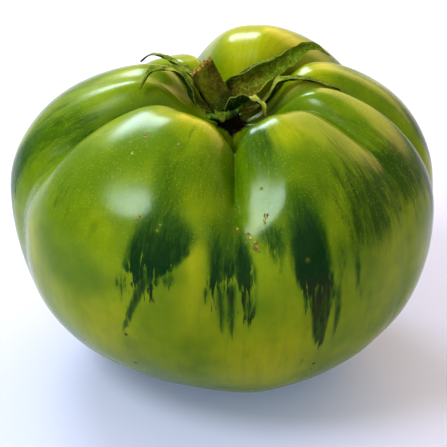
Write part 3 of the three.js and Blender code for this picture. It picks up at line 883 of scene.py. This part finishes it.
def sepal_finish():
    """Dull green leaf: dark green all under it, and near its base along one edge, as painted shade; paler
    inside, along the edges and in its long veins, with veins and grain that are real marks made paler on the
    inner face as a painted highlight; brown inside at its base, and brown and dry towards the tip."""
    f = Finish("tomato_sepal")
    place = f.place()
    along, across, face = f.attribute("along"), f.attribute("across"), f.attribute("face")
    blotches = f.noise(place, LEAF_BLOTCHES, 4.0, 0.6)
    fibre = f.node("ShaderNodeCombineXYZ", {0: f.times(across, 3.0), 1: along}).outputs[0]
    fibres = f.noise(fibre, LEAF_FIBRES, 4.0, 0.65)
    grain = f.noise(place, GREEN_GRAIN, 4.0, 0.75)
    upper = f.step(face, -0.1, 0.3)
    # Painted highlight: pale veins and grain show more strongly on the inner face
    lit = f.scaled(upper, 0.7, 0.3)
    # Painted shade: the underside gets dark greens, the inner face its own greens
    ground = f.over(LEAF_DARK, LEAF_UNDER_SHADE, blotches, 0.38, 0.7)
    ground = f.mix(upper, ground, f.over(LEAF_INNER, LEAF_GREEN, blotches, 0.4, 0.62))
    worn = f.swayed(blotches, 2.0, f.attribute("pale"))
    ground = f.mix(f.times(upper, f.step(worn, 0.2, 1.0, 0.0, 0.9)), ground, LEAF_PALE)
    base = f.step(f.scaled(blotches, 0.3, along), 0.62, 0.3, 0.0, 0.8)
    ground = f.mix(f.times(upper, base), ground, LEAF_BASE)
    # Painted shade near the base: along one edge and under the blade
    painted_shade = f.math("MAXIMUM", f.step(across, 0.3, 0.75), f.step(face, 0.1, -0.2))
    ground = f.mix(f.times(painted_shade, f.step(along, 0.5, 0.25, 0.0, 0.85)), ground, LEAF_DARK)
    ground = f.mix(f.times(lit, f.step(fibres, 0.5, 0.75, 0.0, 0.5)), ground, LEAF_PALE)
    ground = f.over(ground, LEAF_PALE, f.math("ABSOLUTE", across), 0.88, 0.99, 0.5)
    ground = f.over(ground, LEAF_DRY, f.swayed(blotches, 0.5, along), 0.84, 1.05, 0.85)
    ground = f.mix(f.times(lit, f.step(grain, 0.5, 0.68, 0.0, 0.55)), ground, LEAF_PALE)
    ground = f.over(ground, LEAF_DARK, grain, 0.46, 0.3, 0.8)
    relief = f.scaled(grain, 1.2, fibres)
    f.set(Base_Color=ground, Roughness=LEAF_ROUGHNESS, Normal=f.bump(relief, RELIEF_HEIGHT))
    f.set(Specular_IOR_Level=DULL_SPECULAR, Subsurface_Weight=0.08)
    f.set(Subsurface_Radius=(0.6, 1.0, 0.2), Subsurface_Scale=0.0006)
    return f.material


# Scales of the patterns in the leaf and the stalk, and how dull the two are
LEAF_BLOTCHES = 380
LEAF_FIBRES = 6
GREEN_GRAIN = 1500
COLLAR_GRAIN = 500
STALK_BLOTCHES = 300
STALK_GROOVES = 9
STALK_SPECKS = 2100
LEAF_ROUGHNESS = 0.72
STALK_ROUGHNESS = 0.75
COLLAR_ROUGHNESS = 0.8
HAIR_ROUGHNESS = 0.5
DULL_SPECULAR = 0.2

LEAF_DARK = colour("163608")
# LEAF_UNDER_SHADE: green of the underside, darkened as painted shade
LEAF_UNDER_SHADE = colour("305410")
LEAF_GREEN = colour("6a8a0e")
LEAF_INNER = colour("687a10")
LEAF_PALE = colour("b8ba5a")
LEAF_DRY = colour("6a4c24")
LEAF_BASE = colour("66580e")


def make_sepals(material):
    """All the sepals, each its own piece. Gives their grids for the hairs."""
    grids = []
    for seed, (name, row) in enumerate(SEPALS.items(), SEPAL_SEED):
        points, fields = blade(**row, seed=seed)
        add_piece(name, closed_mesh(name, points - middle, fields), "calyx", material)
        grids.append(points)
    return grids


def tube(foot, axis, lengthways, radius, turn):
    """Rings round a straight axis: how far each point lies along it and from it, and its turn round it."""
    right = unit(np.cross((0.0, 1.0, 0.0), axis))
    points = foot + axis * lengthways[..., None] + right * (radius * np.cos(turn))[..., None]
    return points + np.cross(axis, right) * (radius * np.sin(turn))[..., None]


def make_collar(material):
    """The collar as lumpy rings round a leaning axis: a narrow neck, a flare, a rounded rim and a seat."""
    foot = skin_ends[1] - (0, 0, NECK_SUNK)
    profile = [(r * COLLAR_RADIUS, 0, h * (COLLAR_HEIGHT + NECK_SUNK)) for r, h in COLLAR_PROFILE]
    rings = smooth_path(profile, COLLAR_RINGS)[0]
    turn = circle(COLLAR_AROUND)
    radius = rings[:, :1] * (1 + waves(COLLAR_LUMPS, turn, turn))
    points = tube(foot, unit(STEM_FOOT - foot), rings[:, 2:], radius, turn)
    mesh = closed_mesh("collar", points - middle, {"rise": np.linspace(0, 1, COLLAR_RINGS)[:, None]})
    add_piece("collar", mesh, "calyx", material)


def collar_finish():
    """Dark brown neck that turns green towards the rim."""
    f = Finish("tomato_collar")
    lumps = f.noise(f.place(), COLLAR_GRAIN, 4.0, 0.6)
    bark = f.over(SCAR_DARK, SCAR_BROWN, lumps, 0.4, 0.65)
    green = f.over(LEAF_DARK, LEAF_GREEN, lumps, 0.4, 0.65)
    grown = f.over(bark, green, f.scaled(lumps, 0.25, f.attribute("rise")), 0.55, 0.78)
    f.set(Base_Color=grown, Roughness=COLLAR_ROUGHNESS, Normal=f.bump(lumps, 0.0004))
    return f.material


# The stem

def stem_rings():
    """Rings along the stub: a ribbed, finely grooved tube with a swollen foot, then rings of the torn end
    that close inwards, sunk and rough, on a slant."""
    length = np.linalg.norm(STEM_END - STEM_FOOT)
    turn = circle(STEM_AROUND)[None]
    along = np.linspace(0, 1, STEM_RINGS)[:, None]
    radius = STEM_RADIUS + (STEM_FOOT_RADIUS - STEM_RADIUS) * bell(along, 0, STEM_FOOT_SHARE)
    radius = radius + RIB_HEIGHT * np.cos(STEM_RIBS * turn) * along + waves(STEM_WAVES, turn, along)
    torn = TORN_SHARE * waves(TORN_WAVES, turn, turn)
    lengthways = along * (length + STEM_SLANT * radius * np.cos(turn)) + torn * ease(TORN_SHARES, along)
    inward = np.linspace(1, END_HOLE, END_RINGS)[1:, None]
    sunk = END_SUNK * ease((1.0, 0.55), inward)
    rough = 0.16 * np.sin(7 * turn + 9 * inward) * np.sin(33 * inward)
    rough = rough + 0.10 * np.sin(17 * turn - 15 * inward)
    end_radius = radius[-1:] * inward
    end_length = length + STEM_SLANT * end_radius * np.cos(turn) + torn * inward ** 3 - sunk
    end_length = end_length + rough * inward * (1 - inward) * 3
    radius = np.concatenate([radius, end_radius])
    lengthways = np.concatenate([lengthways, end_length])
    points = tube(STEM_FOOT, (STEM_END - STEM_FOOT) / length, lengthways, radius, turn)
    return points, {"rise": np.concatenate([along, 2 - inward]), "turn": turn}


def stem_finish():
    """Olive stalk with darker and paler grooves and pale specks, and a torn, tan end with a brown middle."""
    f = Finish("tomato_stalk")
    place, rise, turn = f.place(), f.attribute("rise"), f.attribute("turn")
    blotches = f.noise(place, STALK_BLOTCHES, 4.0, 0.6)
    round_it = {0: f.math("COSINE", turn), 1: f.math("SINE", turn), 2: f.times(rise, 0.25)}
    grooves = f.noise(f.node("ShaderNodeCombineXYZ", round_it).outputs[0], STALK_GROOVES, 4.0, 0.65)
    grain = f.noise(place, GREEN_GRAIN, 4.0, 0.75)
    bark = f.over(STALK_DARK, STALK_GREEN, blotches, 0.35, 0.68)
    bark = f.over(bark, STALK_BROWN, grooves, 0.45, 0.7, 0.55)
    bark = f.over(bark, STALK_FOOT, rise, 0.42, 0.05, 0.7)
    bark = f.over(bark, STALK_SPECK, f.cells(place, STALK_SPECKS)["Distance"], 0.24, 0.1, 0.5)
    bark = f.over(bark, STALK_DARK, grain, 0.47, 0.32, 0.8)
    wood = f.over(CUT_BROWN, CUT_TAN, grain, 0.4, 0.65)
    wood = f.over(CUT_BROWN, wood, f.scaled(blotches, 0.5, rise), 1.75, 1.2)
    finished = f.over(bark, wood, f.scaled(blotches, 0.12, rise), 0.975, 1.02)
    relief = f.scaled(grooves, 1.2, f.times(grain, 0.6))
    f.set(Base_Color=finished, Roughness=STALK_ROUGHNESS, Normal=f.bump(relief, RELIEF_HEIGHT))
    f.set(Specular_IOR_Level=DULL_SPECULAR)
    return f.material


STALK_DARK = colour("343806")
STALK_GREEN = colour("6c6e0c")
STALK_BROWN = colour("6e5a0c")
STALK_FOOT = colour("1c3e06")
STALK_SPECK = colour("b0a040")
CUT_TAN = colour("d2b46a")
CUT_BROWN = colour("80682c")


# Hairs

def cones(name, roots, tips):
    """Thin pointed hairs as one mesh: each is a few-sided cone from its root to its tip."""
    direction = unit(tips - roots)
    first = unit(np.cross(direction, np.where(np.abs(direction[:, 2:]) < 0.8, (0, 0, 1.0), (1.0, 0, 0))))
    second = np.cross(direction, first)
    turn = circle(HAIR_SIDES)[None, :, None]
    ring = roots[:, None] + HAIR_RADIUS * (first[:, None] * np.cos(turn) + second[:, None] * np.sin(turn))
    points = np.concatenate([ring, tips[:, None]], 1)
    start = np.arange(len(roots))[:, None] * (HAIR_SIDES + 1)
    side = np.arange(HAIR_SIDES)
    tip = np.broadcast_to(start + HAIR_SIDES, (len(roots), HAIR_SIDES))
    walls = np.stack([start + side, start + (side + 1) % HAIR_SIDES, tip], -1).reshape(-1, 3)
    mesh = bpy.data.meshes.new(name)
    faces = walls.tolist() + (start + side[::-1]).tolist()
    mesh.from_pydata(((points.reshape(-1, 3) - middle) * MM).tolist(), [], faces)
    mesh.update()
    return mesh


def hair_finish():
    """Dull hairs, from pale to green."""
    f = Finish("tomato_hair")
    f.set(Base_Color=f.mix(f.noise(f.place(), 900), HAIR_PALE, HAIR_GREEN), Roughness=HAIR_ROUGHNESS)
    return f.material


HAIR_PALE = colour("b4b47c")
HAIR_GREEN = colour("78843c")


def hair_ends(grids, seed):
    """Roots and tips of hairs: random points of the grids, so many to a square millimetre, and from each a
    random length along the normal with a random lean."""
    random = np.random.default_rng(seed)
    roots, tips = [], []
    for points in grids:
        around = np.roll(points, -1, 1) - np.roll(points, 1, 1)
        along = np.gradient(points, axis=0)
        normal = np.cross(around, along)
        count = int(HAIR_DENSITY * np.linalg.norm(normal, axis=-1).sum() / 2)
        outward = points - points.mean(1, keepdims=True)
        normal *= np.sign((normal * outward).sum(-1, keepdims=True))
        normal /= np.linalg.norm(normal, axis=-1, keepdims=True) + 1e-9
        rows = random.integers(HAIRLESS_FOOT, points.shape[0] - HAIRLESS_TIP, count)
        columns = random.integers(0, points.shape[1], count)
        root = points[rows, columns]
        lean = unit(normal[rows, columns] + HAIR_LEAN * random.normal(size=(count, 3)))
        length = random.uniform(*HAIR_LENGTH, (count, 1))
        roots.append(root - HAIR_ROOT * lean)
        tips.append(root + length * lean)
    return np.concatenate(roots), np.concatenate(tips)


# The pieces

make_fruit()
sepal_grids = make_sepals(sepal_finish())
make_collar(collar_finish())
stem_points, stem_fields = stem_rings()
stem_mesh = closed_mesh("stem_stub", stem_points - middle, stem_fields)
add_piece("stem_stub", stem_mesh, "stem", stem_finish())
hair = hair_finish()
stem_hairs = cones("stem_hairs", *hair_ends([stem_points[:STEM_HAIRY]], STEM_HAIR_SEED))
add_piece("stem_hairs", stem_hairs, "stem", hair)
sepal_hairs = cones("sepal_hairs", *hair_ends(sepal_grids, SEPAL_HAIR_SEED))
add_piece("sepal_hairs", sepal_hairs, "calyx", hair)


# Floor, lights and camera

def make_floor():
    """A wide plain floor, faintly uneven in tone. It glows faintly, a painted light that lifts its shadows
    and lights the fruit from below.
    """
    mesh = bpy.data.meshes.new("floor")
    corners = [(x * FLOOR_HALF, y * FLOOR_HALF, 0) for x, y in ((-1, -1), (1, -1), (1, 1), (-1, 1))]
    mesh.from_pydata(corners, [], [(0, 1, 2, 3)])
    floor = put_in_scene("floor", mesh)
    f = Finish("pale_floor")
    f.set(Base_Color=f.mix(f.noise(f.place(), 14, 3.0), FLOOR_PALE, FLOOR_WHITE), Roughness=0.6)
    f.set(Specular_IOR_Level=0.3, Emission_Color=FLOOR_GLOW, Emission_Strength=FLOOR_GLOW_STRENGTH)
    floor.data.materials.append(f.material)


# The floor's half width in metres, its two tones and its faint glow, which is painted light
FLOOR_HALF = 6.0
FLOOR_PALE = colour("aeaab4")
FLOOR_WHITE = colour("b4b0ba")
FLOOR_GLOW = colour("c0d6ff")
FLOOR_GLOW_STRENGTH = 0.20

# Lights: azimuth, elevation, distance, width and height in metres, power in watts, and tint
LIGHTS = {
    "window_cool": (116, 38, 0.9, (0.37, 0.37), 4.6, (0.66, 0.78, 1.0)),
    "window_warm": (62, 28, 0.9, (0.90, 0.60), 4.2, (1.0, 0.64, 0.26)),
    "front_soft": (208, 50, 0.9, (0.36, 0.36), 4.6, (0.72, 0.84, 1.0)),
    "front_fill": (262, 26, 1.3, (2.8, 1.7), 6.0, (1.0, 0.96, 0.84)),
}
ROOM_TINT = (0.95, 0.93, 0.85, 1.0)
ROOM_STRENGTH = 0.56


def towards(azimuth, elevation):
    """The direction at an azimuth, anticlockwise from +X, and an elevation, both in degrees."""
    a, e = math.radians(azimuth), math.radians(elevation)
    return Vector((math.cos(a) * math.cos(e), math.sin(a) * math.cos(e), math.sin(e)))


def stand(name, data, out, distance):
    """A lamp or camera at a distance from the fruit's middle, that looks back at it."""
    thing = put_in_scene(name, data)
    target = Vector((-middle[0], -middle[1], CAMERA_TARGET_HEIGHT)) * MM
    thing.location = target + out * distance
    thing.rotation_mode = "QUATERNION"
    thing.rotation_quaternion = out.to_track_quat("Z", "Y")
    return thing


def make_lights():
    """The soft lights, round where width and height are equal, and the even light of the room."""
    for name, (azimuth, elevation, distance, size, power, tint) in LIGHTS.items():
        light = bpy.data.lights.new(name, "AREA")
        light.shape = "ELLIPSE" if size[0] == size[1] else "RECTANGLE"
        light.size, light.size_y = size
        light.energy = power
        light.color = tint
        stand(name, light, towards(azimuth, elevation), distance)
    world = bpy.data.worlds.new("studio")
    world.use_nodes = True
    background = world.node_tree.nodes["Background"]
    background.inputs["Color"].default_value = ROOM_TINT
    background.inputs["Strength"].default_value = ROOM_STRENGTH
    bpy.context.scene.world = world


def make_camera():
    """The camera, in front of the fruit and above it, which takes in CAMERA_SEES at the fruit's middle."""
    data = bpy.data.cameras.new("camera")
    data.sensor_width = SENSOR
    data.lens = SENSOR * CAMERA_DISTANCE / CAMERA_SEES
    data.clip_start = 0.01
    out = towards(CAMERA_AZIMUTH, CAMERA_ELEVATION)
    bpy.context.scene.camera = stand("camera", data, out, CAMERA_DISTANCE * MM)


make_floor()
make_lights()
make_camera()
bpy.context.scene.view_settings.view_transform = "Standard"
bpy.context.scene.view_settings.look = "High Contrast"
